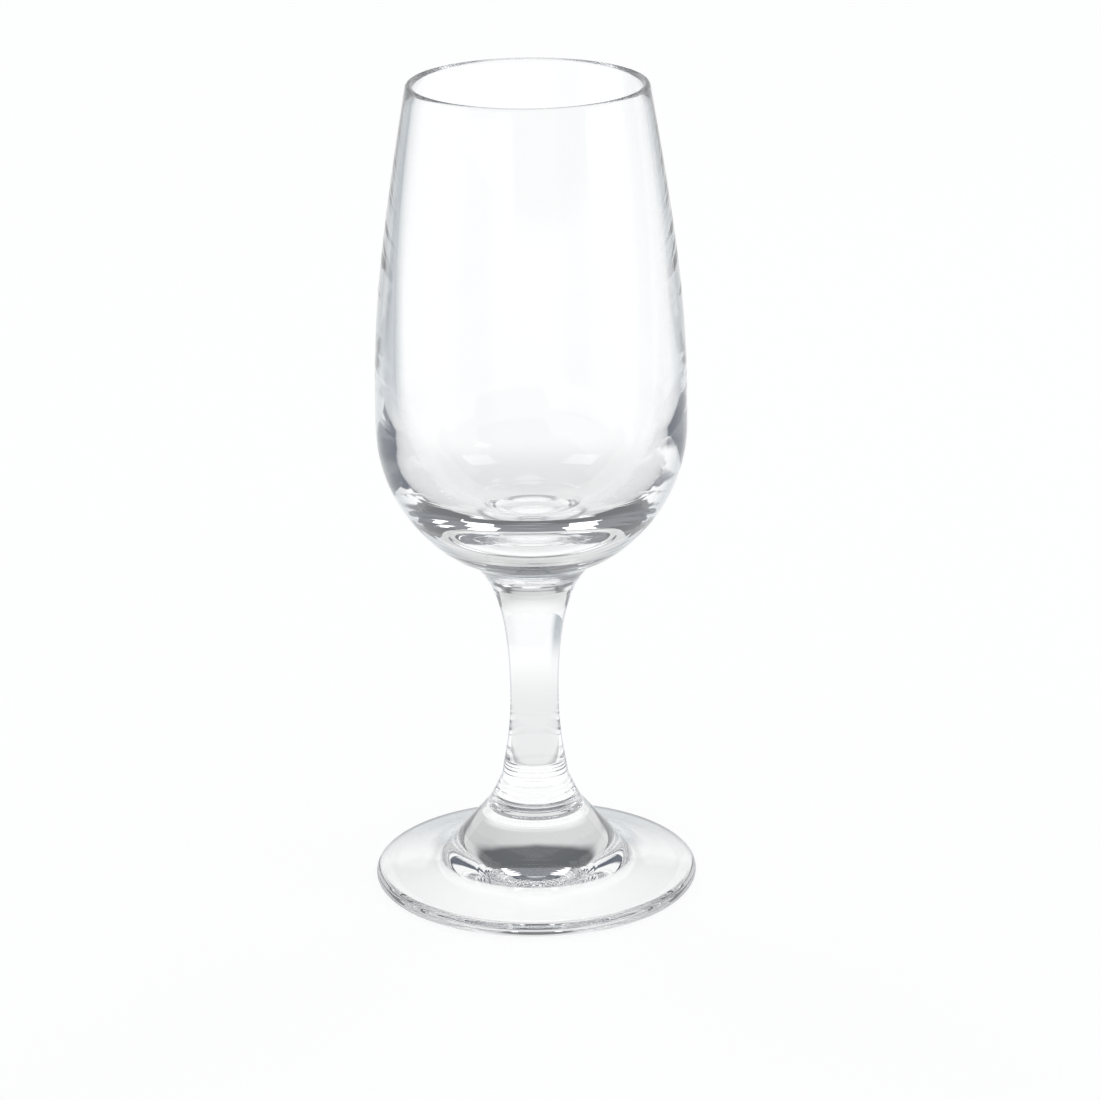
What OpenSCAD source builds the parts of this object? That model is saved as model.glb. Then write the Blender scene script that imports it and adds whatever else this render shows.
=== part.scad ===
// Sherry glass of clear glass, free standing, in millimetres.
// Three members are joined hot, one on top of the other, and share one upright axis:
// the bowl, the stem and the foot. Each is one closed solid of revolution, and they
// meet face to face on two level seams. The origin is where the axis meets the table.

/* [Bowl] */
// Height of the bowl, from its seam with the stem to the top of the lip
bowl_h = 81; // [70:0.5:110]
// Outer diameter at the lip
rim_d = 40.2; // [34:0.1:48]
// Thickness of the rounded lip
lip_t = 1.3; // [0.8:0.05:2]
// Outer diameter at the belly, the widest part
belly_d = 52.3; // [46:0.1:64]
// Height of the belly above the seam with the stem
belly_h = 23.2; // [18:0.1:30]
// Thickness of the wall at the belly
belly_wall = 3.4; // [2:0.05:4.5]
// Height of the widest part of the hollow above the seam
hollow_belly_h = 33.5; // [28:0.1:45]
// Thickness of the bottom above the seam
base_t = 7; // [4:0.1:9]

/* [Stem] */
// Height of the stem, from its seam with the foot to its seam with the bowl
stem_h = 44.9; // [36:0.1:70]
// Diameter at the top, where the stem spreads under the bowl
heel_d = 25; // [20:0.1:32]
// Diameter at the waist, the thinnest part
waist_d = 8.3; // [6:0.1:10]
// Height of the waist above the seam with the foot
waist_h = 19.4; // [14:0.1:24]
// Diameter at the cuff, the crease where the stem starts to spread
cuff_d = 11.6; // [10.5:0.1:14]
// Height of the cuff above the seam with the foot
cuff_h = 4.6; // [3:0.1:7]

/* [Foot] */
// Diameter of the foot
foot_d = 55.4; // [50:0.1:70]
// Height of the foot, from the table to its seam with the stem
foot_h = 14.1; // [12:0.1:20]
// Diameter at the top of the foot, where it meets the stem
neck_d = 16.3; // [15:0.1:20]
// Diameter of the boss where it runs out into the plate
boss_d = 32.6; // [28:0.1:38]
// Height of the plate at the boss
plate_h = 4.5; // [3.5:0.1:6]
// Length over which the corner between boss and plate is eased
cove_l = 3.5; // [1:0.1:6]
// Thickness of the foot's rounded edge
edge_t = 2.8; // [2:0.05:3.2]
// Width of the flat ring that the glass stands on
tread_w = 2; // [1:0.1:4]
// Height of the hollow under the foot, at its middle
kick_h = 3.4; // [1:0.1:5]

/* [Finish] */
// Straight pieces in each curve of an outline
curve_steps = 12; // [6:1:24]

/* [Hidden] */

glass_tint = [0.86, 0.9, 0.92, 0.4];

foot_seam_z = foot_h;
bowl_seam_z = foot_seam_z + stem_h;
top_z = bowl_seam_z + bowl_h;

lip_r = lip_t / 2;
edge_r = edge_t / 2;

// Directions of the outlines, in degrees from level, going down the outside
rim_lean = 10;
hollow_lean = 8;
heel_lean = 21.6;
cuff_lean_above = 80;
cuff_lean_below = 60;
neck_lean_above = 54;
// The boss falls straight from the neck to the plate, and the plate to the edge
boss_lean = atan2(foot_seam_z - plate_h, (boss_d - neck_d) / 2);
plate_lean = atan2(plate_h - edge_t, (foot_d - boss_d) / 2 - edge_r);
kick_lean = 10;

// How far each curve's two handles reach, as shares of the distance between its ends
shoulder_shares = [0.55, 0.28];
belly_shares = [0.52, 0.13];
throat_shares = [0.24, 0.52];
shaft_shares = [0.35, 0.42];
cuff_shares = [0.28, 0.28];
cove_shares = [0.36, 0.36];
kick_shares = [0.45, 0.5];
hollow_low_shares = [0.58, 0.42];
hollow_high_shares = [0.34, 0.43];

// A point at a distance and a direction from another point
function step_from(p, distance, angle) = p + distance * [cos(angle), sin(angle)];

// A curve from a to b that leaves a and reaches b in the given directions
function curve(a, a_angle, b, b_angle, shares) =
    let (span = norm(b - a))
    let (p = step_from(a, span * shares[0], a_angle))
    let (q = step_from(b, -span * shares[1], b_angle))
    [for (i = [0:curve_steps])
        let (t = i / curve_steps, s = 1 - t)
        s * s * s * a + 3 * s * s * t * p + 3 * s * t * t * q + t * t * t * b];

// An arc about a centre, from one direction to another
function arc(centre, radius, from, to) =
    [for (i = [0:curve_steps]) step_from(centre, radius, from + (to - from) * i / curve_steps)];

// The points of a stretch after its first one, and those between its two ends
function after_first(points) = [for (i = [1:len(points) - 1]) points[i]];
function between_ends(points) = [for (i = [1:len(points) - 2]) points[i]];

// Stations of the outlines, each as radius and height
lip_centre = [rim_d / 2 - lip_r, top_z - lip_r];
lip_outside = step_from(lip_centre, lip_r, rim_lean);
lip_inside = step_from(lip_centre, lip_r, 180 + hollow_lean);
belly = [belly_d / 2, bowl_seam_z + belly_h];
heel = [heel_d / 2, bowl_seam_z];
hollow_belly = [belly_d / 2 - belly_wall, bowl_seam_z + hollow_belly_h];
hollow_bottom = [0, bowl_seam_z + base_t];
waist = [waist_d / 2, foot_seam_z + waist_h];
cuff = [cuff_d / 2, foot_seam_z + cuff_h];
neck = [neck_d / 2, foot_seam_z];
boss_corner = [boss_d / 2, plate_h];
cove_top = step_from(boss_corner, cove_l, 180 - boss_lean);
cove_end = step_from(boss_corner, cove_l, -plate_lean);
edge_centre = [foot_d / 2 - edge_r, edge_r];
tread_inside = [edge_centre[0] - tread_w, 0];
kick_top = [0, kick_h];

module bowl() {
    lip = arc(lip_centre, lip_r, 180 + hollow_lean, rim_lean);
    shoulder = curve(lip_outside, rim_lean - 90, belly, -90, shoulder_shares);
    flank = curve(belly, -90, heel, heel_lean - 180, belly_shares);
    hollow_low = curve(hollow_bottom, 0, hollow_belly, 90, hollow_low_shares);
    hollow_high = curve(hollow_belly, 90, lip_inside, 90 + hollow_lean, hollow_high_shares);
    outside = concat(lip, after_first(shoulder), after_first(flank), [[0, bowl_seam_z]]);
    inside = concat(hollow_low, between_ends(hollow_high));
    color(glass_tint)
        rotate_extrude()
            polygon(concat(outside, inside));
}

module stem() {
    throat = curve(heel, heel_lean - 180, waist, -90, throat_shares);
    shaft = curve(waist, -90, cuff, -cuff_lean_above, shaft_shares);
    spread = curve(cuff, -cuff_lean_below, neck, -neck_lean_above, cuff_shares);
    outside = concat(throat, after_first(shaft), after_first(spread));
    color(glass_tint)
        rotate_extrude()
            polygon(concat([[0, bowl_seam_z]], outside, [[0, foot_seam_z]]));
}

module foot() {
    cove = curve(cove_top, -boss_lean, cove_end, -plate_lean, cove_shares);
    edge = arc(edge_centre, edge_r, 90 - plate_lean, -90);
    kick = curve(tread_inside, 180 - kick_lean, kick_top, 180, kick_shares);
    color(glass_tint)
        rotate_extrude()
            polygon(concat([[0, foot_seam_z], neck], cove, edge, kick));
}

bowl();
stem();
foot();
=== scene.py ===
import math

import bmesh
import bpy
from mathutils import Matrix, Vector
from mathutils.geometry import interpolate_bezier


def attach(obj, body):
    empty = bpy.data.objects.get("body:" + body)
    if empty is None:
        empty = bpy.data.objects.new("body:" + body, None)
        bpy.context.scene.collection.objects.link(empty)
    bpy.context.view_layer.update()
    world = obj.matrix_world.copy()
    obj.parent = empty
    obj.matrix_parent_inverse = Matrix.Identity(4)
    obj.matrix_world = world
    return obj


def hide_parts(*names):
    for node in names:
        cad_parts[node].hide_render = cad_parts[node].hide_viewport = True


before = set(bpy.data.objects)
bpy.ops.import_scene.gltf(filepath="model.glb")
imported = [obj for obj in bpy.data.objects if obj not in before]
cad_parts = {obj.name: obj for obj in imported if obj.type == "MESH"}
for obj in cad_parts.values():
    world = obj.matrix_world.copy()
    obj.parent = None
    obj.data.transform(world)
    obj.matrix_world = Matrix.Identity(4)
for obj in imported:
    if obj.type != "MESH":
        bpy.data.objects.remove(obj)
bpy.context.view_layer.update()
print("frame loaded:", ", ".join(sorted(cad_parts)))

# the glass is given in millimetres and degrees, the studio in metres and degrees;
# an outline is a row of (radius, height) spots along the section of a piece
mm = 0.001
footSeam = 14.1
bowlSeam = 59.0
topHeight = 140.0
heelWidth = 25.0        # where stem and bowl meet
heelLean = 21.6
neckWidth = 16.3        # where foot and stem meet
plainWhite = (1.0, 1.0, 1.0, 1.0)


class Wire:
    # a socket of a shader tree, so that sums and products can be written as such

    def __init__(self, tree, socket=None):
        self.tree = tree
        self.socket = socket

    def add(self, kind, settings=None, sockets=None, out=0):
        node = self.tree.nodes.new("ShaderNode" + kind)
        for name, value in (settings or {}).items():
            if name == "stops":
                while len(node.color_ramp.elements) < len(value):
                    node.color_ramp.elements.new(0.5)
                for stop, (position, colour) in zip(node.color_ramp.elements, value):
                    stop.position = position
                    stop.color = colour
            else:
                setattr(node, name, value)
        for name, value in (sockets or {}).items():
            if isinstance(value, Wire):
                self.tree.links.new(value.socket, node.inputs[name])
            else:
                node.inputs[name].default_value = value
        return Wire(self.tree, node.outputs[out])

    def maths(self, operation, first, second=0.0):
        return self.add("Math", {"operation": operation}, {0: first, 1: second})

    def __add__(self, other):
        return self.maths("ADD", self, other)

    __radd__ = __add__

    def __sub__(self, other):
        return self.maths("SUBTRACT", self, other)

    def __mul__(self, other):
        return self.maths("MULTIPLY", self, other)

    def rise(self, low, high, fromValue=0.0, toValue=1.0):
        # an eased step between two values of the socket
        return self.add("MapRange", {"interpolation_type": "SMOOTHSTEP"},
                        {"Value": self, "From Min": low, "From Max": high,
                         "To Min": fromValue, "To Max": toValue}, "Result")

    def blend(self, first, second):
        # the first colour where the socket is 0, the second where it is 1
        return self.add("Mix", {"data_type": "RGBA"}, {"Factor": self, 6: first, 7: second}, 2)

    def ramp(self, stops):
        return self.add("ValToRGB", {"stops": stops}, {"Fac": self}, "Color")

    def axes(self):
        node = self.add("SeparateXYZ", None, {0: self}).socket.node
        return [Wire(self.tree, output) for output in node.outputs]

    def into(self, shader, name):
        self.tree.links.new(self.socket, shader.inputs[name])


def stepFrom(point, distance, angle):
    turn = math.radians(angle)
    return (point[0] + distance * math.cos(turn), point[1] + distance * math.sin(turn))


def curveTo(start, leaving, end, arriving, reach, points=40):
    # one swept curve; reach is how far its two handles go, as shares of its length
    span = math.dist(start, end)
    near = stepFrom(start, reach[0] * span, leaving)
    far = stepFrom(end, -reach[1] * span, arriving)
    return [tuple(spot) for spot in interpolate_bezier(start, near, far, end, points)]


def roundOff(centre, radius, fromAngle, toAngle, points=20):
    turn = (toAngle - fromAngle) / (points - 1)
    return [stepFrom(centre, radius, fromAngle + turn * i) for i in range(points)]


# grooves that the tool left where the stem meets bowl and foot: height, depth, width
toolRings = ((63.8, 0.015, 0.50), (62.3, 0.025, 0.40), (60.8, 0.025, 0.30),
             (58.3, 0.045, 0.25), (57.2, 0.035, 0.25), (55.6, 0.045, 0.30), (53.8, 0.030, 0.30),
             (17.9, 0.035, 0.14), (17.1, 0.040, 0.18), (16.0, 0.040, 0.20), (15.3, 0.025, 0.12),
             (14.6, 0.040, 0.20), (13.7, 0.030, 0.22), (12.6, 0.020, 0.25))


def toolMarks(outline):
    def groove(height):
        return sum(depth * math.exp(-((height - at) / width) ** 2) for at, depth, width in toolRings)

    return [(radius - groove(height) if radius else radius, height) for radius, height in outline]


lathe = {
    "steps": 288, "easeSteps": 5,
    "weld": 1e-6, "ringSlack": 2e-6, "seamSlack": 1e-7,     # metres
    "sharpFrom": 24,
}
seamSlot, hollowSlot = 1, 2        # the outside of a piece has the first material


def turnOnLathe(name, outline, creases=(), seams=()):
    # spins the outline round the axis; creases are rings that are eased,
    # seams the heights of the faces where two members are one glass
    s = lathe
    bm = bmesh.new()
    spots = [bm.verts.new((radius * mm, 0, height * mm)) for radius, height in outline]
    rail = [bm.edges.new(pair) for pair in zip(spots, spots[1:])]
    bmesh.ops.spin(bm, geom=spots + rail, cent=(0, 0, 0), axis=(0, 0, 1), dvec=(0, 0, 0),
                   angle=math.tau, steps=s["steps"], use_merge=True, use_duplicate=False)
    bmesh.ops.remove_doubles(bm, verts=bm.verts[:], dist=s["weld"])
    bmesh.ops.recalc_face_normals(bm, faces=bm.faces[:])
    for height, radius, width in creases:
        ring = [edge for edge in bm.edges
                if all(abs(v.co.z - height * mm) < s["ringSlack"]
                       and abs(math.hypot(v.co.x, v.co.y) - radius * mm) < s["ringSlack"]
                       for v in edge.verts)]
        bmesh.ops.bevel(bm, geom=ring, offset=width * mm, affect="EDGES", segments=s["easeSteps"],
                        profile=0.5, material=-1)
    for face in bm.faces:
        face.smooth = True
        middle = face.calc_center_median()
        if any(all(abs(v.co.z - height * mm) < s["seamSlack"] for v in face.verts) for height in seams):
            face.material_index = seamSlot
        elif face.normal.x * middle.x + face.normal.y * middle.y < 0:       # it faces the axis
            face.material_index = hollowSlot
    for edge in bm.edges:
        edge.smooth = edge.calc_face_angle(0) < math.radians(s["sharpFrom"])
        if seamSlot in [face.material_index for face in edge.link_faces]:
            edge.smooth = False
    mesh = bpy.data.meshes.new(name)
    bm.to_mesh(mesh)
    bm.free()
    piece = bpy.data.objects.new(name, mesh)
    bpy.context.scene.collection.objects.link(piece)
    return piece


glassLook = {
    "bend": 1.52,                               # refractive index of soda glass
    "tint": (0.996, 0.998, 0.998, 1.0),
    "greenTint": (0.988, 0.994, 0.994, 1.0),
    "paintedEdgeShade": (0.38, 0.43, 0.47, 1.0),        # painted shade where the outside is seen edge on, partly the darker long path through the glass
    "paintedHollowShade": (0.93, 0.94, 0.95, 1.0),      # and fainter painted shade where the hollow is seen edge on
    "edgeFrom": 0.62, "bowlEdgeFrom": 0.51, "bowlSpan": (0.055, 0.080),
    "edgeTo": 0.78, "rimEdgeTo": 0.74, "rimSpan": (0.090, 0.120),     # spans are heights
    "swellDepth": 0.030, "swellScale": 60,      # slow waves of the blown wall
    "dimpleDepth": 0.008, "dimpleScale": 170,   # smaller unevenness
    "calmSpan": (0.075, 0.105), "calm": 0.15,   # both fade to this share towards the lip
    "ringDepth": 0.003, "ringScale": 420,       # fine turning rings
    "ringSqueeze": (0.08, 0.08, 1.0),
    "smearScale": 140, "smearRange": (0.45, 0.8),
    "haze": 0.004, "hazeMost": 0.022,           # least and most roughness
    "greenRange": (0.3, 0.75),
}


def clearGlass(name, paintedEdgeShade):
    look = glassLook
    material = bpy.data.materials.new(name)
    material.use_nodes = True
    tree = material.node_tree
    shader = tree.nodes["Principled BSDF"]
    shader.inputs["Transmission Weight"].default_value = 1.0
    shader.inputs["IOR"].default_value = look["bend"]
    place = Wire(tree).add("TexCoord", out="Object")
    height = place.axes()[2]
    squeezed = place.add("Mapping", None, {"Vector": place, "Scale": look["ringSqueeze"]})

    def noise(where, scale, detail):
        return where.add("TexNoise", None, {"Vector": where, "Scale": scale, "Detail": detail}, "Fac")

    # the wall swells slowly, and most of that is low down
    swell = noise(place, look["swellScale"], 1.0) * look["swellDepth"]
    dimples = noise(place, look["dimpleScale"], 1.0) * look["dimpleDepth"]
    relief = height.rise(*look["calmSpan"], 1.0, look["calm"]) * (swell + dimples)
    relief = relief + noise(squeezed, look["ringScale"], 2.0) * look["ringDepth"]
    bump = relief.add("Bump", None, {"Height": relief, "Distance": mm, "Strength": 1.0}, "Normal")
    bump.into(shader, "Normal")

    # use and washing leave a faint uneven haze
    smear = noise(place, look["smearScale"], 5.0)
    smear.rise(*look["smearRange"], look["haze"], look["hazeMost"]).into(shader, "Roughness")

    # painted shade: the glass is darker where it is seen edge on, partly for its long path through the
    # glass
    body = smear.ramp(tuple(zip(look["greenRange"], (look["tint"], look["greenTint"]))))
    edgeFrom = height.rise(*look["bowlSpan"], look["edgeFrom"], look["bowlEdgeFrom"])
    edgeTo = height.rise(*look["rimSpan"], look["edgeTo"], look["rimEdgeTo"])
    steep = place.add("LayerWeight", None, {"Blend": 0.5}, "Facing").rise(edgeFrom, edgeTo)
    steep.blend(body, paintedEdgeShade).into(shader, "Base Color")
    return material


def joinedGlass():
    # the face between two members, which the heat has closed: nothing shows there
    material = bpy.data.materials.new("joinedGlass")
    material.use_nodes = True
    shader = material.node_tree.nodes["Principled BSDF"]
    shader.inputs["Alpha"].default_value = 0.0
    return material


# the outside and the hollow get different painted edge shade
outsideGlass = clearGlass("clearGlass", glassLook["paintedEdgeShade"])
hollowGlass = clearGlass("hollowGlass", glassLook["paintedHollowShade"])
joint = joinedGlass()
print("glass ready")


def settle(piece, node):
    for material in (outsideGlass, joint, hollowGlass):
        piece.data.materials.append(material)
    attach(piece, "root")
    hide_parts(node)
    print(node, "turned:", len(piece.data.polygons), "faces")


bowlSizes = {
    "rimWidth": 40.2, "lip": 1.3, "rimLean": 10, "hollowLean": 8,
    "bellyWidth": 52.3, "bellyHeight": 23.2, "wall": 3.4,
    "hollowBelly": 33.5, "bottom": 7.0,
    "shoulder": (0.55, 0.28), "flank": (0.52, 0.13),
    "lowHollow": (0.58, 0.42), "highHollow": (0.34, 0.43),
    "flankPoints": 128, "hollowPoints": 64,
}


def makeBowl():
    s = bowlSizes
    lip = s["lip"] / 2
    lipCentre = (s["rimWidth"] / 2 - lip, topHeight - lip)
    lipOut = stepFrom(lipCentre, lip, s["rimLean"])
    lipIn = stepFrom(lipCentre, lip, 180 + s["hollowLean"])
    belly = (s["bellyWidth"] / 2, bowlSeam + s["bellyHeight"])
    widest = (s["bellyWidth"] / 2 - s["wall"], bowlSeam + s["hollowBelly"])
    heel = (heelWidth / 2, bowlSeam)
    outline = curveTo((0, bowlSeam + s["bottom"]), 0, widest, 90, s["lowHollow"], s["hollowPoints"])
    outline += curveTo(widest, 90, lipIn, 90 + s["hollowLean"], s["highHollow"])[1:-1]
    outline += roundOff(lipCentre, lip, 180 + s["hollowLean"], s["rimLean"])
    outline += curveTo(lipOut, s["rimLean"] - 90, belly, -90, s["shoulder"])[1:]
    outline += curveTo(belly, -90, heel, heelLean - 180, s["flank"], s["flankPoints"])[1:]
    outline += [(0, bowlSeam)]
    return turnOnLathe("bowlGlass", toolMarks(outline), seams=(bowlSeam,))


stemSizes = {
    "waistWidth": 8.3, "waistHeight": 19.4,
    "cuffWidth": 11.6, "cuffHeight": 4.6, "aboveCuff": 80, "belowCuff": 60, "cuffEase": 0.35,
    "aboveNeck": 54,
    "throat": (0.24, 0.52), "shaft": (0.35, 0.42), "spread": (0.28, 0.28),
    "throatPoints": 120, "spreadPoints": 56,
}


def makeStem():
    s = stemSizes
    heel = (heelWidth / 2, bowlSeam)
    waist = (s["waistWidth"] / 2, footSeam + s["waistHeight"])
    cuff = (s["cuffWidth"] / 2, footSeam + s["cuffHeight"])
    neck = (neckWidth / 2, footSeam)
    outline = [(0, bowlSeam)]
    outline += curveTo(heel, heelLean - 180, waist, -90, s["throat"], s["throatPoints"])
    outline += curveTo(waist, -90, cuff, -s["aboveCuff"], s["shaft"])[1:]
    outline += curveTo(cuff, -s["belowCuff"], neck, -s["aboveNeck"], s["spread"], s["spreadPoints"])[1:]
    outline += [(0, footSeam)]
    creases = ((cuff[1], cuff[0], s["cuffEase"]),)
    return turnOnLathe("stemGlass", toolMarks(outline), creases, seams=(bowlSeam, footSeam))


footSizes = {
    "width": 55.4, "bossWidth": 32.6, "plate": 4.5, "cove": 3.5,
    "edge": 2.8, "tread": 2.0, "kick": 3.4, "kickLean": 10,
    "bossReach": (0.2, 0.33), "coveReach": (0.36, 0.36), "kickReach": (0.45, 0.5),
    "bossPoints": 72, "edgePoints": 28, "kickPoints": 48,
}


def makeFoot():
    s = footSizes
    edge = s["edge"] / 2
    neck = (neckWidth / 2, footSeam)
    corner = (s["bossWidth"] / 2, s["plate"])
    edgeCentre = (s["width"] / 2 - edge, edge)
    treadEnd = (edgeCentre[0] - s["tread"], 0)
    bossLean = math.degrees(math.atan2(neck[1] - corner[1], corner[0] - neck[0]))
    plateLean = math.degrees(math.atan2(s["plate"] - s["edge"], edgeCentre[0] - corner[0]))
    coveTop = stepFrom(corner, s["cove"], 180 - bossLean)
    coveEnd = stepFrom(corner, s["cove"], -plateLean)
    outline = [(0, footSeam)]
    outline += curveTo(neck, -bossLean, coveTop, -bossLean, s["bossReach"], s["bossPoints"])[:-1]
    outline += curveTo(coveTop, -bossLean, coveEnd, -plateLean, s["coveReach"])
    outline += roundOff(edgeCentre, edge, 90 - plateLean, -90, s["edgePoints"])
    outline += curveTo(treadEnd, 180 - s["kickLean"], (0, s["kick"]), 180, s["kickReach"], s["kickPoints"])
    return turnOnLathe("footGlass", toolMarks(outline), seams=(footSeam,))


settle(makeBowl(), "bowl")
settle(makeStem(), "stem")
settle(makeFoot(), "foot")


studio = {
    "darkBehind": (0.132, 0.138, 0.146, 1.0),    # the room above the white
    "darkBefore": (0.098, 0.116, 0.150, 1.0),    # and behind the camera
    "darkAbove": (0.24, 0.25, 0.27, 1.0),        # and near the ceiling
    "ceiling": (36, 46), "skyBlur": 1.6,         # elevations
    "horizon": (-2, 12), "roomTurn": (-0.3, 0.3),
    # how high the white reaches and how bright it is, by azimuth; 0 is straight behind the glass
    "skyline": ((-180, 3, 1.0), (-168, 3, 1.0), (-160, 20, 1.0), (-84, 20, 1.0), (-76, 8, 0.9),
                (-53, 8, 0.8), (-46, 24.5, 0.74), (-22, 24, 0.7), (-12, 22.2, 0.69), (0, 21, 0.68),
                (12, 22.2, 0.65), (22, 24, 0.62), (46, 24.5, 0.68), (53, 8, 0.8), (76, 8, 0.9),
                (84, 20, 1.0), (120, 20, 1.0), (128, 3, 1.0), (180, 3, 1.0)),
    # painted shade on the far floor, seen only through the glass, by the angle off the nearest side
    "leftTones": ((23, 1.0, 1.0, 1.0), (29, 0.80, 0.83, 0.84), (33, 0.53, 0.57, 0.60),
                  (38, 0.40, 0.45, 0.48), (45, 0.46, 0.50, 0.53)),
    "rightTones": ((23, 1.0, 1.0, 1.0), (29, 0.97, 0.98, 0.98), (33, 0.93, 0.94, 0.95),
                   (38, 0.92, 0.93, 0.94), (45, 0.94, 0.95, 0.96)),
    "sideTurn": (-0.4, 0.4),
    "floorSize": 6.0, "floorDrop": 0.04,         # the drop is in millimetres
    "floorShade": (0.82, 0.82, 0.82, 1.0),
    "floorGlow": 1.24, "throughGlow": 0.03, "glowShare": 0.72,
    # distances from the axis at which the floor's tones rise and fall
    "farSpan": (0.1, 0.3),
    "edgeShade": 0.55, "edgeRise": (0.0262, 0.0275), "edgeFall": (0.0290, 0.0340),
    "wideShade": 0.2, "wideRise": (0.0270, 0.0320), "wideFall": (0.0700, 0.1600),
    "underGlow": 0.09, "underFall": (0.0245, 0.0270),
}


def paintedFloorShade(x, y):
    # painted shade: white straight off each of the four sides, greyer towards the corners
    azimuth = x.maths("ARCTAN2", x, y)
    corner = 45.0
    off = azimuth.maths("PINGPONG", azimuth * math.degrees(1), corner) * (1 / corner)
    side = azimuth.maths("SINE", azimuth).rise(*studio["sideTurn"])
    left, right = (off.ramp([(angle / corner, (*colour, 1.0)) for angle, *colour in studio[name]])
                   for name in ("leftTones", "rightTones"))
    return side.blend(left, right)


def makeSky():
    s = studio
    world = bpy.data.worlds.new("room")
    bpy.context.scene.world = world
    world.use_nodes = True
    background = world.node_tree.nodes["Background"]
    start = Wire(world.node_tree)
    x, y, z = start.add("TexCoord", out="Generated").axes()
    elevation = z.maths("ARCSINE", z) * math.degrees(1)
    turn = x.maths("ARCTAN2", x, y) * (1 / math.tau) + 0.5
    line = turn.ramp([((azimuth + 180) / 360, (top / 90, glow, 0.0, 1.0))
                      for azimuth, top, glow in s["skyline"]])
    top, glow, _ = line.axes()
    room = y.rise(*s["roomTurn"]).blend(s["darkBefore"], s["darkBehind"])
    room = elevation.rise(*s["ceiling"]).blend(room, s["darkAbove"])
    white = elevation.rise(*s["horizon"]).blend(plainWhite, glow)    # the backdrop is greyer than the floor
    sky = (elevation - top * 90).rise(-s["skyBlur"], s["skyBlur"]).blend(white, room)
    seen = start.add("LightPath", out="Is Camera Ray")
    seen.blend(sky, plainWhite).into(background, "Color")
    background.inputs["Strength"].default_value = 1.0


def makeFloor():
    s = studio
    bm = bmesh.new()
    bmesh.ops.create_grid(bm, x_segments=1, y_segments=1, size=s["floorSize"] / 2)
    mesh = bpy.data.meshes.new("floor")
    bm.to_mesh(mesh)
    bm.free()
    floor = bpy.data.objects.new("floor", mesh)
    bpy.context.scene.collection.objects.link(floor)
    floor.location.z = -s["floorDrop"] * mm        # so that no two faces share one plane
    material = bpy.data.materials.new("paleFloor")
    material.use_nodes = True
    tree = material.node_tree
    tree.nodes.remove(tree.nodes["Principled BSDF"])
    start = Wire(tree)
    place = start.add("TexCoord", out="Object")
    x, y, _ = place.axes()
    away = start.add("VectorMath", {"operation": "LENGTH"}, {0: place}, "Value")
    path = start.add("LightPath").socket.node
    camera, glossy, through = (Wire(tree, path.outputs[name]) for name in
                               ("Is Camera Ray", "Is Glossy Ray", "Is Transmission Ray"))
    seen = camera.maths("MAXIMUM", camera, glossy.maths("MAXIMUM", glossy, through))

    # seen through the glass only, the floor is greyer far off with painted shade, and has a painted shadow
    # round the foot
    colour = (away.rise(*s["farSpan"]) * through).blend(plainWhite, paintedFloorShade(x, y))
    # painted shadow in rings round the foot, and painted light under it, only for rays through the glass
    narrow = away.rise(*s["edgeRise"]) * away.rise(*s["edgeFall"], 1.0, 0.0) * s["edgeShade"]
    wide = away.rise(*s["wideRise"]) * away.rise(*s["wideFall"], 1.0, 0.0) * s["wideShade"]
    under = away.rise(*s["underFall"], 1.0, 0.0) * s["underGlow"]
    level = 1 + through * (under - narrow - wide + s["throughGlow"])
    colour = start.add("VectorMath", {"operation": "SCALE"}, {0: colour, "Scale": level})
    shade = start.add("BsdfDiffuse", None, {"Color": s["floorShade"]}, "BSDF")
    light = start.add("Emission", None, {"Color": colour, "Strength": s["floorGlow"]}, "Emission")
    mixed = start.add("MixShader", None, {0: seen * s["glowShare"], 1: shade, 2: light}, "Shader")
    mixed.into(tree.nodes["Material Output"], "Surface")
    mesh.materials.append(material)


lamps = {
    "leftBox": {"at": (-0.58, 0.69, 1.14), "size": 0.44, "glow": 2.0},
    "rightBox": {"at": (0.62, 0.70, 1.14), "size": 0.44, "glow": 2.0},
    "sideBox": {"at": (0.86, 0.0, 1.17), "size": 0.26, "glow": 2.0},
    "topBox": {"at": (0.10, -0.20, 1.50), "size": 0.60, "glow": 1.6},
}
lampAim = Vector((0, 0, 0.07))


def hangLamps():
    for name, s in lamps.items():
        light = bpy.data.lights.new(name, "AREA")
        light.size = s["size"]
        light.energy = s["glow"] * math.pi * s["size"] ** 2
        lamp = bpy.data.objects.new(name, light)
        bpy.context.scene.collection.objects.link(lamp)
        lamp.location = s["at"]
        lamp.visible_glossy = False        # bright through the glass, without glare on it
        towards = lampAim - Vector(s["at"])
        lamp.rotation_euler = towards.to_track_quat("-Z", "Y").to_euler()


makeSky()
makeFloor()
hangLamps()
print("studio ready")


cameraSizes = {
    "distance": 0.67096, "height": 0.28615,
    "down": 18.668, "roll": 0.57, "pan": -0.248,
    "lens": 136.93, "film": 36,         # millimetres
    "lightTurns": 64,
}


def placeCamera():
    s = cameraSizes
    lens = bpy.data.cameras.new("camera")
    lens.sensor_width = s["film"]
    lens.lens = s["lens"]
    camera = bpy.data.objects.new("camera", lens)
    bpy.context.scene.collection.objects.link(camera)
    turn = (Matrix.Rotation(math.radians(s["pan"]), 3, "Z")
            @ Matrix.Rotation(math.radians(90 - s["down"]), 3, "X")
            @ Matrix.Rotation(math.radians(-s["roll"]), 3, "Z"))
    camera.rotation_euler = turn.to_euler()
    camera.location = (0, -s["distance"], s["height"])
    bpy.context.scene.camera = camera


placeCamera()
bpy.context.scene.view_settings.view_transform = "Standard"

# light turns many times inside thick glass before it leaves
cycles = bpy.context.scene.cycles
cycles.max_bounces = cycles.glossy_bounces = cycles.transmission_bounces = cameraSizes["lightTurns"]
